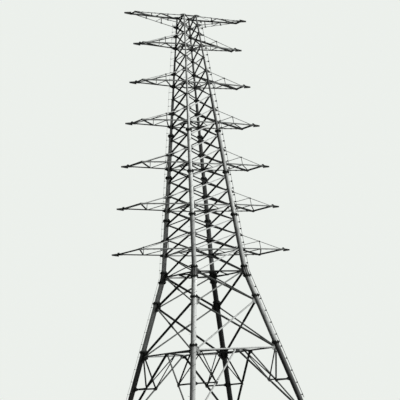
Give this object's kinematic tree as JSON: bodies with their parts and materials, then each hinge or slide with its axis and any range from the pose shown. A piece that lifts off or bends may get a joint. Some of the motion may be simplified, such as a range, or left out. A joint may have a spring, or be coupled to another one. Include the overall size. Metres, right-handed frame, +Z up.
{
  "type": "lattice transmission pylon, scale model 1:2",
  "caption": "Lattice transmission pylon with splayed tubular legs, crossed bracing and paired tapering cross-arms for overhead power lines, as a half-size model.",
  "frame": {"origin": "ground level under the middle of the tower, on the undersides of the base plates", "axes": "+X along the cross-arms, +Y across them, +Z up"},
  "size_m": [12.476, 9.9674, 28.215],
  "materials": {
    "leg_steel": "weathered galvanised steel tube",
    "brace_steel": "dark weathered galvanised steel",
    "arm_steel": "weathered galvanised steel",
    "rail_steel": "galvanised steel"
  },
  "bodies": {
    "root": {"arm_1_left": "arm_steel", "arm_1_right": "arm_steel", "arm_2_left": "arm_steel", "arm_2_right": "arm_steel", "arm_3_left": "arm_steel", "arm_3_right": "arm_steel", "arm_4_left": "arm_steel", "arm_4_right": "arm_steel", "arm_5_left": "arm_steel", "arm_5_right": "arm_steel", "arm_6_left": "arm_steel", "arm_6_right": "arm_steel", "arm_diaphragms": "brace_steel", "belt_tie_back": "brace_steel", "belt_tie_front": "brace_steel", "belt_tie_left": "brace_steel", "belt_tie_right": "brace_steel", "climbing_rail_left": "rail_steel", "climbing_rail_right": "rail_steel", "crown_arm_left": "arm_steel", "crown_arm_right": "arm_steel", "leg_bracing_a_back": "brace_steel", "leg_bracing_a_front": "brace_steel", "leg_bracing_a_left": "brace_steel", "leg_bracing_a_right": "brace_steel", "leg_bracing_b_back": "brace_steel", "leg_bracing_b_front": "brace_steel", "leg_bracing_b_left": "brace_steel", "leg_bracing_b_right": "brace_steel", "lower_leg_back": "leg_steel", "lower_leg_front": "leg_steel", "lower_leg_left": "leg_steel", "lower_leg_right": "leg_steel", "upper_face_back": "brace_steel", "upper_face_front": "brace_steel", "upper_face_left": "brace_steel", "upper_face_right": "brace_steel", "upper_leg_back": "leg_steel", "upper_leg_front": "leg_steel", "upper_leg_left": "leg_steel", "upper_leg_right": "leg_steel", "waist_diaphragm": "brace_steel", "waist_face_back": "brace_steel", "waist_face_front": "brace_steel", "waist_face_left": "brace_steel", "waist_face_right": "brace_steel"}
  },
  "joints": []
}
